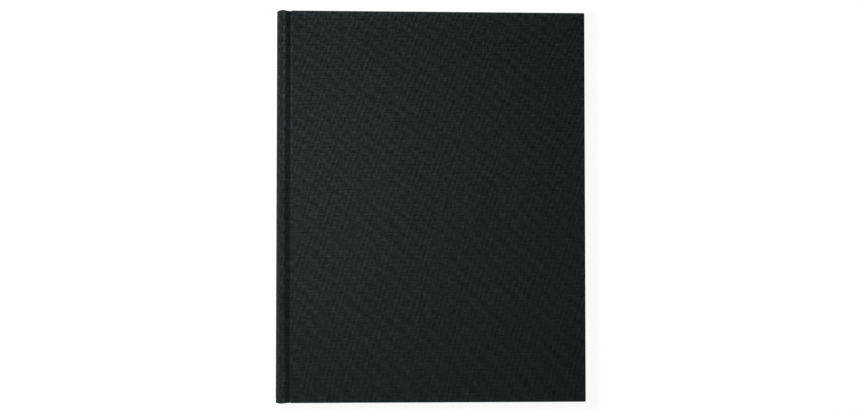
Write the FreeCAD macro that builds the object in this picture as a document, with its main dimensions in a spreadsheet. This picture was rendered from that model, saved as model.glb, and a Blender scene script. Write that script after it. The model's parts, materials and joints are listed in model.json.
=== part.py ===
"""A case-bound ledger book, closed and lying on its back cover.

Frame: millimetres, +Z up out of the front cover, +Y towards the head, the spine at -X. The origin is
under the middle of the book, on the surface that it lies on.

A sewn block of leaves hangs in a hard case. The case is two boards and a curved card inlay in the spine,
covered with one cloth that is turned in over their edges. Between the spine and each board the cloth
dips into a joint groove, where it is glued to the mull and the endpapers, and there the cover opens.

Near the spine, everything is a layer on one line across the book: round the back, over the crest of the
shoulder, down its flank, round into the groove and out under the board. The depth of a layer is counted
inwards from the outside of the cloth. The line is drawn for the front and mirrored for the back.
"""

import FreeCAD, Part
import math
import os
import Sketcher
from FreeCAD import Placement, Rotation, Vector

SIZES = [
    ("leaf_width", 219.5, "leaf, from its fold at the spine to the fore edge"),
    ("leaf_height", 279.4, "leaf, from tail to head"),
    ("block_thickness", 15.0, "all the sewn leaves, pressed"),
    ("board_setback", 4.35, "board narrower than a leaf, for the joint less the square at the fore edge"),
    ("square", 2.9, "board and inlay stand past the head and the tail of the leaves"),
    ("board_thickness", 2.5, "greyboard of the covers"),
    ("board_rounding", 0.4, "rounding of a board's outer edges"),
    ("cloth_thickness", 0.4, "book cloth with its backing and glue"),
    ("turn_in", 15.0, "cloth folded over onto the inside of a board or the inlay"),
    ("endpaper_thickness", 0.2, "pastedown and flyleaf"),
    ("mull_thickness", 0.2, "open-weave cloth glued over the spine of the block"),
    ("mull_flange", 30.0, "mull glued onto the board, past the joint"),
    ("mull_inset", 2.0, "mull stops this far short of the cloth turned in at the head and the tail"),
    ("lining_thickness", 0.3, "paper glued over the mull"),
    ("lining_width", 16.0, "lining, straight across the spine"),
    ("lining_inset", 3.0, "lining stops this far short of the head and the tail of the leaves"),
    ("inlay_thickness", 0.5, "card that stiffens the spine of the case"),
    ("inlay_width", 13.0, "inlay, straight across the spine"),
    ("hollow", 1.2, "air between the turned-in cloth and the lining, at the middle of the spine"),
    ("spine_bulge", 4.8, "how far the spine stands out behind the crests of its shoulders"),
    ("crest_radius", 1.6, "outside of the cloth over a shoulder"),
    ("crest_drop", 0.2, "crest below the outer face of the cover beside it"),
    ("groove_radius", 0.6, "outside of the cloth at the bottom of the joint groove"),
    ("opening_clearance", 1.0, "air between the spine and the edge of a cover laid right back"),
    ("joint_gap", 0.05, "air between the cloth in the groove and the cloth on the edge of the board"),
    ("cap_rise", 0.4, "fold of cloth at the ends of the spine, above the edges of the covers"),
    ("band_radius", 1.1, "bead of the head band and the tail band"),
    ("band_width", 13.0, "bead, straight across the spine"),
]

# Lengths that follow from the sizes, as expressions of the sheet.
CLOTH = "Sizes.cloth_thickness"
BOARD_DEPTH = f"({CLOTH} + Sizes.board_thickness)"
TURN_IN_DEPTH = f"({BOARD_DEPTH} + {CLOTH})"
COVER = f"({TURN_IN_DEPTH} + Sizes.endpaper_thickness)"
ENDPAPER_DEPTH = f"({CLOTH} + max(Sizes.mull_thickness; Sizes.endpaper_thickness))"
LEAF_DEPTH = f"({ENDPAPER_DEPTH} + Sizes.endpaper_thickness)"
TOTAL = f"(2 * ({BOARD_DEPTH} + {LEAF_DEPTH}) + Sizes.block_thickness)"
MIDDLE = f"({TOTAL} / 2)"
BOARD_WIDTH = "(Sizes.leaf_width - Sizes.board_setback)"
BOARD_HEIGHT = "(Sizes.leaf_height + 2 * Sizes.square)"
CLOTH_WIDTH = f"({BOARD_WIDTH} + 2 * {CLOTH})"
CLOTH_HEIGHT = f"({BOARD_HEIGHT} + 2 * {CLOTH})"
WINDOW_HEIGHT = f"({BOARD_HEIGHT} - 2 * Sizes.turn_in)"
MULL_HEIGHT = f"({WINDOW_HEIGHT} - 2 * Sizes.mull_inset)"

# A cover turns about the crest of its shoulder. So its edge is as far in front of the crest as the spine
# stands out behind it, and clears the spine when the cover is laid right back.
JOINT = "(2 * Sizes.spine_bulge + Sizes.opening_clearance)"
SPINE_X = f"(-({JOINT} + {CLOTH_WIDTH}) / 2)"
CREST_X = f"({SPINE_X} + Sizes.spine_bulge)"
COVER_X = f"({SPINE_X} + {JOINT})"
FORE_X = f"({COVER_X} + {CLOTH_WIDTH})"
CREST_Z = f"({TOTAL} - Sizes.crest_drop - Sizes.crest_radius)"
CREST_RISE = f"({CREST_Z} - {MIDDLE})"
GROOVE_X = f"({CREST_X} + Sizes.crest_radius + Sizes.groove_radius)"
GROOVE_Z = f"({TOTAL} - {BOARD_DEPTH} + Sizes.groove_radius)"


def arc_radius(bulge, crest):
    """The radius of an arc that bulges out behind the middles of two crest circles and touches both."""
    return f"(({bulge}^2 + {CREST_RISE}^2 - {crest}^2) / (2 * ({bulge} - {crest})))"


# The back of the case and the flatter back of the block are two such arcs.
CASE_RADIUS = arc_radius("Sizes.spine_bulge", "Sizes.crest_radius")
CASE_X = f"({SPINE_X} + {CASE_RADIUS})"
INLAY_DEPTH = f"({CLOTH} + Sizes.inlay_thickness)"
CASE_DEPTH = f"({INLAY_DEPTH} + {CLOTH})"
LINING_DEPTH = f"({CASE_DEPTH} + Sizes.hollow)"
BLOCK_BULGE = f"(Sizes.spine_bulge - {LINING_DEPTH} - Sizes.lining_thickness - Sizes.mull_thickness)"
BLOCK_RADIUS = arc_radius(BLOCK_BULGE, f"(Sizes.crest_radius - {ENDPAPER_DEPTH})")
BLOCK_X = f"({CREST_X} - {BLOCK_BULGE} + {BLOCK_RADIUS})"
MULL_RADIUS = f"({BLOCK_RADIUS} + Sizes.mull_thickness)"
LINING_RADIUS = f"({MULL_RADIUS} + Sizes.lining_thickness)"

# The fore edge repeats the round of the back one leaf's width away; it is furthest out at its corners.
FORE_EDGE_X = f"({BLOCK_X} + Sizes.leaf_width)"
LEAF_X = f"({FORE_EDGE_X} - sqrt({BLOCK_RADIUS}^2 - (Sizes.block_thickness / 2)^2))"

BLOCK_NODES = [
    "text_block", "spine_mull", "spine_lining", "head_band", "tail_band",
    "front_flyleaf", "back_flyleaf", "spine_inlay", "spine_cloth",
]
COVER_NODES = ["board", "cover_cloth", "mull_flange", "pastedown"]


def add_sheet(doc):
    """The driving sizes, one row each: its value, with the alias, and what it is."""
    sheet = doc.addObject("Spreadsheet::Sheet", "Sizes")
    for row, (alias, value, meaning) in enumerate(SIZES, start=1):
        sheet.set(f"A{row}", str(value))
        sheet.setAlias(f"A{row}", alias)
        sheet.set(f"B{row}", meaning)
    doc.recompute()


def number(doc, expression):
    """What an expression of the sheet comes to."""
    return float(doc.getObject("Sizes").evalExpression(expression))


def bind(feature, **expressions):
    """Binds properties of a feature to the sheet; x, y and z are its place."""
    for name, expression in expressions.items():
        feature.setExpression(f"Placement.Base.{name}" if name in "xyz" else name, expression)


# ---------------------------------------------------------------- plain shapes


def add_box(doc, name, x, end_x, width, z, height):
    """A block from x to end_x, centred on the middle line of the book in Y."""
    box = doc.addObject("Part::Box", name)
    bind(box, Length=f"{end_x} - {x}", Width=width, Height=height, x=x, y=f"-{width} / 2", z=z)
    return box


def add_boolean(doc, kind, name, base, tool):
    """Two shapes cut or intersected."""
    result = doc.addObject(f"Part::{kind}", name)
    result.Base, result.Tool = base, tool
    return result


def add_cuts(doc, name, base, *tools):
    """The base with each tool cut out of it in turn."""
    for count, tool in enumerate(tools, start=1):
        step = name if count == len(tools) else f"{name}_less_{tool.Name}"
        base = add_boolean(doc, "Cut", step, base, tool)
    return base


def add_shell(doc, name, centre_x, outer, inner, height, width):
    """A curved strip along the spine: a tube about an axis in Y, trimmed to a width across the spine."""
    tubes = []
    for wall, radius in (("outside", outer), ("inside", inner)):
        tube = doc.addObject("Part::Cylinder", f"{name}_{wall}")
        tube.Placement = Placement(Vector(), Rotation(Vector(1, 0, 0), -90))
        bind(tube, Radius=radius, Height=height, x=centre_x, y=f"-{height} / 2", z=MIDDLE)
        tubes.append(tube)
    tube = add_boolean(doc, "Cut", f"{name}_tube", *tubes)
    left = f"({centre_x} - {outer})"
    trim = add_box(doc, f"{name}_trim", left, centre_x, height, f"{MIDDLE} - {width} / 2", width)
    return add_boolean(doc, "Common", name, tube, trim)


def add_plate(doc, name, side, width, height, thickness, depth, radius):
    """A cover plate with its outer face rounded over: a rectangle, padded and filleted.

    It is drawn with its outer face up, and turned over for the back cover."""
    body = doc.addObject("PartDesign::Body", name)
    sketch = body.newObject("Sketcher::SketchObject", f"{name}_outline")
    plane = next(part for part in body.Origin.OriginFeatures if part.Role == "XY_Plane")
    sketch.AttachmentSupport = [(plane, "")]
    sketch.MapMode = "FlatFace"
    far_x, far_y = number(doc, width) / 2, number(doc, height) / 2
    corners = [Vector(x * far_x, y * far_y) for x, y in ((-1, -1), (1, -1), (1, 1), (-1, 1))]
    for start, end in zip(corners, corners[1:] + corners[:1]):
        sketch.addGeometry(Part.LineSegment(start, end))
    for line, run in enumerate(("Horizontal", "Vertical", "Horizontal", "Vertical")):
        sketch.addConstraint(Sketcher.Constraint("Coincident", line, 2, (line + 1) % 4, 1))
        sketch.addConstraint(Sketcher.Constraint(run, line))
    sketch.addConstraint(Sketcher.Constraint("Symmetric", 0, 1, 1, 2, -1, 1))
    for line, kind, side_name, size in ((0, "DistanceX", "width", width), (1, "DistanceY", "height", height)):
        place = sketch.addConstraint(Sketcher.Constraint(kind, line, 1, line, 2, number(doc, size)))
        sketch.renameConstraint(place, side_name)
        sketch.setExpression(f"Constraints.{side_name}", size)
    pad = body.newObject("PartDesign::Pad", f"{name}_pad")
    pad.Profile = sketch
    pad.setExpression("Length", thickness)
    doc.recompute()
    rounding = body.newObject("PartDesign::Fillet", f"{name}_rounding")
    top = number(doc, thickness)
    edges = enumerate(pad.Shape.Edges, start=1)
    rounding.Base = (pad, [f"Edge{i}" for i, edge in edges if abs(edge.BoundBox.ZMin - top) < 1e-6])
    rounding.setExpression("Radius", radius)
    inner_depth = f"({depth} + {thickness})"
    if side == "front":
        bottom = f"{TOTAL} - {inner_depth}"
    else:
        body.Placement = Placement(Vector(), Rotation(Vector(1, 0, 0), 180))
        bottom = inner_depth
    bind(body, x=f"({COVER_X} + {FORE_X}) / 2", z=bottom)
    return body


# ---------------------------------------------------------------- layers over the spine

# A stretch of an outline is two points for a line or three for an arc, across the book in X and Z.


def arc(centre, radius, *degrees):
    """An arc through three angles, counted from +X towards +Z."""
    turns = [math.radians(angle) for angle in degrees]
    return [centre + Vector(radius * math.cos(turn), 0, radius * math.sin(turn)) for turn in turns]


def mirrored(doc, path):
    """The path on the back half of the book, run the other way."""
    total = number(doc, TOTAL)
    return [[Vector(p.x, 0, total - p.z) for p in reversed(stretch)] for stretch in reversed(path)]


def backwards(path):
    """The same path run the other way."""
    return [stretch[::-1] for stretch in reversed(path)]


def shoulder(doc, depth, back_x, end_x):
    """A layer's line over the front shoulder: its crest, its flank, the groove and out to end_x.

    back_x is the middle of the arc that the layer leaves; it leaves it without a corner."""
    crest = Vector(number(doc, CREST_X), 0, number(doc, CREST_Z))
    groove = Vector(number(doc, GROOVE_X), 0, number(doc, GROOVE_Z))
    inset, rise = number(doc, depth), number(doc, CREST_RISE)
    leave = math.degrees(math.atan2(rise, crest.x - number(doc, back_x)))
    over = arc(crest, number(doc, "Sizes.crest_radius") - inset, leave, leave / 2, 0)
    into = arc(groove, number(doc, "Sizes.groove_radius") + inset, 180, 225, 270)
    return [over, [over[-1], into[0]], into, [into[-1], Vector(number(doc, end_x), 0, into[-1].z)]]


def around(doc, depth, back_x, end_x):
    """A layer's line from the back joint, round the spine, to the front joint."""
    front = shoulder(doc, depth, back_x, end_x)
    back = mirrored(doc, front)
    middle = Vector(number(doc, back_x), 0, number(doc, MIDDLE))
    spine = [back[-1][-1], middle - Vector((front[0][0] - middle).Length, 0, 0), front[0][0]]
    return back + [spine] + front


def add_extrusion(doc, name, path, height):
    """A section closed with straight lines where its path has gaps, and run along the spine."""
    edges = []
    for stretch, following in zip(path, path[1:] + path[:1]):
        curve = Part.Arc(*stretch) if len(stretch) == 3 else Part.LineSegment(*stretch)
        edges.append(curve.toShape())
        if (following[0] - stretch[-1]).Length > 1e-6:
            edges.append(Part.LineSegment(stretch[-1], following[0]).toShape())
    section = doc.addObject("Part::Feature", f"{name}_section")
    section.Shape = Part.Face(Part.Wire(edges))
    section.Placement = Placement()
    solid = doc.addObject("Part::Extrusion", name)
    solid.Base, solid.DirMode, solid.Dir = section, "Custom", Vector(0, 1, 0)
    solid.Solid, solid.Symmetric = True, True
    bind(solid, LengthFwd=height)
    return solid


# ---------------------------------------------------------------- the block


def add_text_block(doc):
    """The sewn leaves as one solid: a rounded back, shoulders beaten over for the boards, a fore edge."""
    front = shoulder(doc, LEAF_DEPTH, BLOCK_X, LEAF_X)
    back = mirrored(doc, front)
    spine = around(doc, ENDPAPER_DEPTH, BLOCK_X, LEAF_X)[len(back)]
    hollow_x = number(doc, f"{FORE_EDGE_X} - {BLOCK_RADIUS}")
    fore_edge = [front[-1][1], Vector(hollow_x, 0, number(doc, MIDDLE)), back[0][0]]
    add_extrusion(doc, "text_block", [spine] + front + [fore_edge] + back, "Sizes.leaf_height")


def add_flyleaves(doc):
    """The first and the last leaf: the free halves of the endpapers, folded over the shoulders."""
    outer = shoulder(doc, ENDPAPER_DEPTH, BLOCK_X, LEAF_X)
    front = outer + backwards(shoulder(doc, LEAF_DEPTH, BLOCK_X, LEAF_X))
    add_extrusion(doc, "front_flyleaf", front, "Sizes.leaf_height")
    add_extrusion(doc, "back_flyleaf", mirrored(doc, front), "Sizes.leaf_height")


def add_spine_mull(doc):
    """Open-weave cloth over the back and the shoulders, which carries the block in its case."""
    end_x = f"{COVER_X} - Sizes.joint_gap"
    outer = around(doc, f"({ENDPAPER_DEPTH} - Sizes.mull_thickness)", BLOCK_X, end_x)
    inner = around(doc, ENDPAPER_DEPTH, BLOCK_X, end_x)
    add_extrusion(doc, "spine_mull", outer + backwards(inner), MULL_HEIGHT)


def add_spine_lining(doc):
    """A strip of paper over the mull."""
    height = "(Sizes.leaf_height - 2 * Sizes.lining_inset)"
    add_shell(doc, "spine_lining", BLOCK_X, LINING_RADIUS, MULL_RADIUS, height, "Sizes.lining_width")


def add_band(doc, name, end):
    """A bead of thread over the end of the block's back: half of a ring's tube, flat on the leaves."""
    ring = doc.addObject("Part::Torus", f"{name}_ring")
    ring.Placement = Placement(Vector(), Rotation(Vector(1, 0, 0), -90))
    face_y = f"({end} * Sizes.leaf_height / 2)"
    bind(ring, Radius1=f"{LINING_RADIUS} - Sizes.band_radius", Radius2="Sizes.band_radius")
    bind(ring, x=BLOCK_X, y=face_y, z=MIDDLE)
    width = "Sizes.band_width"
    left = f"({BLOCK_X} - {LINING_RADIUS})"
    trim = add_box(doc, f"{name}_trim", left, BLOCK_X, "Sizes.band_radius", f"{MIDDLE} - {width} / 2", width)
    bind(trim, y=face_y if end > 0 else f"{face_y} - Sizes.band_radius")
    add_boolean(doc, "Common", name, ring, trim)


# ---------------------------------------------------------------- the spine of the case


def add_spine_case(doc):
    """The card inlay, and the cloth round the spine from joint to joint, turned in over the inlay's ends."""
    width = "Sizes.inlay_width"
    under_cloth = f"({CASE_RADIUS} - {CLOTH})"
    under_inlay = f"({CASE_RADIUS} - {INLAY_DEPTH})"
    innermost = f"({CASE_RADIUS} - {CASE_DEPTH})"
    inlay = add_shell(doc, "spine_inlay", CASE_X, under_cloth, under_inlay, BOARD_HEIGHT, width)
    full = f"({CLOTH_HEIGHT} + 2 * Sizes.cap_rise)"
    wrap = add_shell(doc, "spine_wrap", CASE_X, CASE_RADIUS, innermost, full, width)
    bare = add_shell(doc, "spine_bare", CASE_X, under_inlay, innermost, WINDOW_HEIGHT, width)
    ends = add_cuts(doc, "spine_ends", wrap, inlay, bare)
    end_x = f"{COVER_X} - Sizes.joint_gap"
    outer = around(doc, "0", CASE_X, end_x)
    inner = around(doc, CLOTH, CASE_X, end_x)
    skin = add_extrusion(doc, "spine_skin", outer + backwards(inner), CLOTH_HEIGHT)
    cloth = doc.addObject("Part::MultiFuse", "spine_cloth")
    cloth.Shapes = [skin, ends]
    cloth.Refine = True


# ---------------------------------------------------------------- the covers


def add_cover(doc, side):
    """A board, the cloth round it and turned in, the flange of the mull and the pastedown over both."""

    def layer(name, x, end_x, width, depth, inner_depth):
        """A flat layer between two depths under the outer face of this cover."""
        bottom = f"({TOTAL} - {inner_depth})" if side == "front" else depth
        return add_box(doc, f"{side}_{name}", x, end_x, width, bottom, f"({inner_depth} - {depth})")

    board = add_plate(
        doc, f"{side}_board", side, BOARD_WIDTH, BOARD_HEIGHT,
        "Sizes.board_thickness", CLOTH, "Sizes.board_rounding",
    )
    sleeve = add_plate(
        doc, f"{side}_sleeve", side, CLOTH_WIDTH, CLOTH_HEIGHT,
        TURN_IN_DEPTH, "0", f"Sizes.board_rounding + {CLOTH}",
    )
    before_joint = f"({COVER_X} - {CLOTH})"
    window_x = f"({FORE_X} - {CLOTH} - Sizes.turn_in)"
    window = layer("window", before_joint, window_x, WINDOW_HEIGHT, BOARD_DEPTH, TURN_IN_DEPTH)
    cloth = add_cuts(doc, f"{side}_cover_cloth", sleeve, board, window)

    flange_x = f"({COVER_X} + Sizes.mull_flange)"
    flange_depth = f"({BOARD_DEPTH} + Sizes.mull_thickness)"
    flange = layer("mull_flange", COVER_X, flange_x, MULL_HEIGHT, BOARD_DEPTH, flange_depth)

    paper = "Sizes.endpaper_thickness"
    sheet = layer("paper", COVER_X, LEAF_X, "Sizes.leaf_height", BOARD_DEPTH, COVER)
    bed_height = f"({WINDOW_HEIGHT} - 2 * {paper})"
    bed_x = f"({flange_x} + {paper})"
    over_flange = f"({flange_depth} + {paper})"
    over_board = f"({BOARD_DEPTH} + {paper})"
    above_flange = layer("above_flange", before_joint, bed_x, bed_height, over_flange, COVER)
    above_board = layer("above_board", bed_x, f"({window_x} - {paper})", bed_height, over_board, COVER)
    add_cuts(doc, f"{side}_pastedown", sheet, cloth, flange, above_flange, above_board)


def check(doc):
    """Stops on a feature that failed or a sub-part that is not one sound solid."""
    for feature in doc.Objects:
        if {"Invalid", "Error"} & set(feature.State):
            raise RuntimeError(f"{feature.Name} failed: {feature.State}")
    for node in nodes():
        shape = doc.getObject(node).Shape
        if shape.isNull() or not shape.isValid() or len(shape.Solids) != 1:
            raise RuntimeError(f"{node} is not one valid solid")


def nodes():
    """The names of all the sub-parts."""
    return BLOCK_NODES + [f"{side}_{node}" for side in ("front", "back") for node in COVER_NODES]


def build():
    """Makes the document, checks it and writes one STEP file for each sub-part."""
    doc = FreeCAD.newDocument("ledger_book")
    add_sheet(doc)
    add_text_block(doc)
    add_flyleaves(doc)
    add_spine_mull(doc)
    add_spine_lining(doc)
    add_band(doc, "head_band", 1)
    add_band(doc, "tail_band", -1)
    add_spine_case(doc)
    for side in ("front", "back"):
        add_cover(doc, side)
    doc.recompute()
    check(doc)
    os.makedirs("parts", exist_ok=True)
    for node in nodes():
        feature = doc.getObject(node)
        feature.Label = node
        feature.Shape.exportStep(f"parts/{node}.step")
        box = feature.Shape.BoundBox
        print(f"{node}: {feature.Shape.Volume:.1f} mm3, {box.XLength:.2f} x {box.YLength:.2f} x {box.ZLength:.2f}")


build()
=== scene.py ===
# %% [markdown]
# # A case-bound ledger book
#
# This lesson dresses a closed ledger: a sewn block of leaves in a hard case of charcoal book cloth.
# The frame holds the pieces at their real size and says how the covers turn. The cells below give every
# surface that can be seen its own mesh and its own material, and leave the hidden pieces as they are.

# %% Load the frame
import json

import bpy
import numpy as np
from mathutils import Matrix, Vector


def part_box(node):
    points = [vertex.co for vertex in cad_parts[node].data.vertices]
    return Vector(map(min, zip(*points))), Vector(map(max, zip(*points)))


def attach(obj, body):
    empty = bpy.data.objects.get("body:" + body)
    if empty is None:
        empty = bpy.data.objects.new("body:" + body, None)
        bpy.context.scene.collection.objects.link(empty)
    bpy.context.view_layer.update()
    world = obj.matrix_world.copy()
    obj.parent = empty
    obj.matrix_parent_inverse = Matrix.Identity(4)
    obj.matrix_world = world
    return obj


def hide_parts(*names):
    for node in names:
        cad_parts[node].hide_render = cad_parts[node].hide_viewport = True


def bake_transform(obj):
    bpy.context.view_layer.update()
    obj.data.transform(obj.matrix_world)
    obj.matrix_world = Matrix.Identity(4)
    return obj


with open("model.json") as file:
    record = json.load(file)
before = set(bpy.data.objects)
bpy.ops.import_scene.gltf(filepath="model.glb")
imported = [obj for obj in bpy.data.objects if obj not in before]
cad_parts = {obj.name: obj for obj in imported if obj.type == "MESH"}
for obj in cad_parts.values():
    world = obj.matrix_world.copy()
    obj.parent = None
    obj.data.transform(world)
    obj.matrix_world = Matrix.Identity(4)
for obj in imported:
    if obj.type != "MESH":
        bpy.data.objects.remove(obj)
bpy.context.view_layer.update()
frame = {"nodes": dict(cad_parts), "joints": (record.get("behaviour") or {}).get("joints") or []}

# %% [markdown]
# ## Working in millimetres
#
# A binder measures in millimetres, and so do these cells. Only the two mesh builders turn a length into
# Blender's metres. The corners of the frame's pieces give most sizes, so a changed frame moves everything.

# %% Sizes read from the frame
MM = 0.001


def corners(name):
    """The lowest and the highest corner of a frame piece, in millimetres."""
    low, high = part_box(name)
    return np.array(low) / MM, np.array(high) / MM


board_low, _ = corners("front_board")
cover_low, cover_high = corners("front_cover_cloth")
spine_low, spine_high = corners("spine_cloth")
block_low, block_high = corners("text_block")
inlay_low, inlay_high = corners("spine_inlay")
flange_low, flange_high = corners("front_mull_flange")
band_low, band_high = corners("head_band")
front_hinge = next(joint for joint in frame["joints"] if joint["child"] == "front_cover")
hinge = np.array(front_hinge["pos_m"]) / MM

total = cover_high[2]
middle = total / 2
cloth = board_low[0] - cover_low[0]
print(f"book: {total:.1f} mm thick, cloth {cloth:.2f} mm, hinge at x = {hinge[0]:.1f} mm")

# %% Sizes of the cloth and the folds, which no box gives
crest_radius = 1.6  # cloth over the shoulder of the block
groove_radius = 1.5  # cloth where it runs out of the flank into the joint groove
flank_angle = 45.0  # slope of the shoulder's flank, as the backing hammer leaves it
cover_rounding = 0.8  # cloth over the outer edge of a board
turn_in = 15.0  # cloth folded onto the inside of a board or the inlay
short_tuck = 2.9  # the same over the shoulders, where it has to stop at the leaves
bedding = 0.04  # glue between two layers of cloth
joint_gap = 0.05  # between the cloth in the groove and the cloth on the board
inlay_card = 0.5  # the card that stiffens the spine
paper = 0.2  # an endpaper
mull = 0.1  # gauze in the joint, half buried in the cloth's glue
leaves = 150
gathering = 8  # leaves sewn together
print(f"{leaves} leaves of {(block_high[2] - block_low[2]) / leaves:.2f} mm, sewn {gathering} at a time")

# %% [markdown]
# ## Two ways to close a surface
#
# Every new piece is a grid of points worked out with numpy. There are two shapes of grid. `shell` takes
# closed rings of points, joins each ring to the next and closes the first and the last with one face:
# good for cloth that wraps round something. `lattice` takes a block of points and keeps its six outer
# faces: good for a sheet, which is a block two points thick, and for the stack of leaves. Both return a
# closed mesh, and both turn it the right way out by the sign of its volume. Each point also keeps its
# place on the flat sheet, so that a woven pattern follows the cloth round a fold.

# %% From points and faces to a piece
crease_angle = np.radians(40)  # faces that meet at more than this keep a sharp edge between them


def add_piece(name, points, faces, flat_map, finish, tone=0):
    """A mesh object from points in mm, faces and, for each point, its place on the flat sheet in mm.

    The tone is painted light: above 0 a painted highlight, below 0 painted shade."""
    mesh = bpy.data.meshes.new(name)
    mesh.from_pydata(points * MM, [], faces)
    map_layer = mesh.uv_layers.new(name="flat")
    point_of_loop = np.empty(len(mesh.loops), int)
    mesh.loops.foreach_get("vertex_index", point_of_loop)
    map_layer.data.foreach_set("uv", (flat_map * MM)[point_of_loop].ravel())
    tone_layer = mesh.attributes.new("tone", "FLOAT", "POINT")
    tone_layer.data.foreach_set("value", np.broadcast_to(tone, len(points)).astype(np.float32))
    mesh.polygons.foreach_set("use_smooth", np.ones(len(mesh.polygons), bool))
    mesh.set_sharp_from_angle(angle=crease_angle)
    mesh.materials.append(finish)
    piece = bpy.data.objects.new(name, mesh)
    bpy.context.scene.collection.objects.link(piece)
    print(f"{name}: {len(points)} points, {len(faces)} faces")
    return piece


# %% Closed surfaces
def outward(points, quads, caps=()):
    """The faces, all turned round if they enclose a negative volume.

    The volume is summed over the four-cornered faces, as the box product of three corners of each half."""
    a, b, c, d = (points[quads[:, k]] for k in range(4))
    volume = (np.cross(a, b) * c + np.cross(a, c) * d).sum()
    faces = quads.tolist() + [list(cap) for cap in caps]
    return faces if volume > 0 else [face[::-1] for face in faces]


def shell(name, rings, flat_map, finish, tone=0):
    """Closed rings of points, shape (rings, around, 3), joined in order, with a face over each end."""
    count, around = rings.shape[:2]
    index = np.arange(count * around).reshape(count, around)
    turned = np.roll(index, -1, 1)
    quads = np.stack([index[:-1], turned[:-1], turned[1:], index[1:]], -1).reshape(-1, 4)
    points = rings.reshape(-1, 3)
    faces = outward(points, quads, (index[0][::-1], index[-1]))
    tone = np.broadcast_to(tone, (count, around)).ravel()
    return add_piece(name, points, faces, flat_map.reshape(-1, 2), finish, tone)


def lattice(name, block, flat_map, finish):
    """The six outer faces of a block of points of shape (across, through, along, 3)."""
    index = np.arange(block[..., 0].size).reshape(block.shape[:3])
    sides = []
    for axis in range(3):
        for end in (0, -1):
            side = np.take(index, end, axis)
            quads = np.stack([side[:-1, :-1], side[1:, :-1], side[1:, 1:], side[:-1, 1:]], -1)
            turn = (end == 0) == (axis != 1)
            sides.append((quads[..., ::-1] if turn else quads).reshape(-1, 4))
    kept, quads = np.unique(np.concatenate(sides), return_inverse=True)
    points = block.reshape(-1, 3)[kept]
    faces = outward(points, quads.reshape(-1, 4))
    return add_piece(name, points, faces, flat_map.reshape(-1, 2)[kept], finish)


def both_sides(side, points):
    """Points drawn for the front of the book, or their mirror image below its middle for the back."""
    return points if side == "front" else points * [1, 1, -1] + [0, 0, total]


# %% [markdown]
# ## Materials
#
# One function adds a node with its inputs and settings. Colours are written as sRGB hex, as a colour
# picker shows them, and one function turns them into the linear light that the shader works with.


# %% Colour, node and material
def colour(hex_code):
    """An sRGB hex colour as linear RGBA."""
    srgb = np.array([int(hex_code[k:k + 2], 16) for k in (1, 3, 5)]) / 255
    linear = np.where(srgb <= 0.04045, srgb / 12.92, ((srgb + 0.055) / 1.055) ** 2.4)
    return (*linear, 1)


def node(tree, kind, inputs, stops=None, **settings):
    """A new node. Its inputs are other nodes' outputs or plain values, and stops the colours of a ramp."""
    made = tree.nodes.new(kind)
    for key, value in settings.items():
        setattr(made, key, value)
    for socket, source in inputs.items():
        if isinstance(source, bpy.types.NodeSocket):
            tree.links.new(source, made.inputs[socket])
        else:
            made.inputs[socket].default_value = source
    if stops:
        ramp = made.color_ramp.elements
        first, *between, last = stops.items()
        for stop, (place, hex_code) in zip((ramp[0], ramp[-1]), (first, last)):
            stop.position, stop.color = place, colour(hex_code)
        for place, hex_code in between:
            ramp.new(place).color = colour(hex_code)
    return made


def material(name, base, roughness, specular):
    """A material with its shader: returns the material, its node tree and the shader."""
    made = bpy.data.materials.new(name)
    made.use_nodes = True
    shader = made.node_tree.nodes["Principled BSDF"]
    values = {"Base Color": colour(base), "Roughness": roughness, "Specular IOR Level": specular}
    for socket, value in values.items():
        shader.inputs[socket].default_value = value
    return made, made.node_tree, shader


def feed(tree, shader, sources):
    """Links outputs to the shader's sockets."""
    for socket, source in sources.items():
        tree.links.new(source, shader.inputs[socket])


print("charcoal in linear light:", [f"{value:.4f}" for value in colour("#1A2121")[:3]])

# %% [markdown]
# ## Book cloth
#
# Book cloth is a plain weave of cotton or rayon, dyed, filled with starch and backed with paper. It is
# nearly matt, with a faint gloss on the crowns of the threads. The threads of the real cloth are a
# quarter of a millimetre apart, too fine to show on a whole book, and seen from a step away they beat
# against each other in two slanting rows. Those rows are what the eye takes for the cloth, so they are
# drawn here as coarse as they show: a few waves across the flat cloth, in pairs that lean both ways and
# bend together, with short uneven threads both ways between them. The weft is beaten up a little closer
# towards the head, so the rows lie closer there too.

# %% Rows and threads of the cloth
cloth_waves = (  # turns per mm across and along the cloth, share of the whole, and share of the drift
    (0.074, 0.092, 0.36, 1.0),  # broad rows, 8.5 mm apart
    (0.254, -0.092, 0.46, -1.0),  # steep rows that lean the other way, 3.7 mm apart
    (0.335, 0.1, 0.16, 1.0),  # rows of neighbouring threads
    (0.321, -0.1, 0.2, -1.0),
    (0.0, 0.48, 0.22, 0.0),  # weft threads, every eighth showing
    (0.0, 0.32, 0.2, 0.0),
)
cloth_threads = (  # features per mm across and along, where the noise starts, and its share
    ((0.8, 0.22), (0, 0), 4.2),  # slubs, along the warp
    ((0.22, 1.1), (30, 0), 5.8),  # picks, along the weft
)
fading = 0.05  # features per mm of the noise by which a row comes and goes
wandering, wander = 0.012, 1.2  # features per mm of the slow drift, and its turns
closing = 0.0001  # turns that the rows gain with each square millimetre from the middle of the book
relief_and_painted_sheen_slope = (-0.0006, 0.0014, 0)  # relief and contrast gained per mm, away from the fore edge and towards the head: painted sheen
weave_reach = 2.6  # rows and threads together stay within this, up and down
print("spacing of the rows:", [f"{1 / np.hypot(*row[:2]):.1f} mm" for row in cloth_waves])


# %% Noise and waves on a flat sheet
def flat_place(tree):
    """Where a point lies on its flat sheet, in millimetres."""
    flat = node(tree, "ShaderNodeUVMap", {}, uv_map="flat").outputs[0]
    return node(tree, "ShaderNodeMapping", {"Vector": flat, "Scale": (1 / MM, 1 / MM, 1)}).outputs[0]


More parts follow.
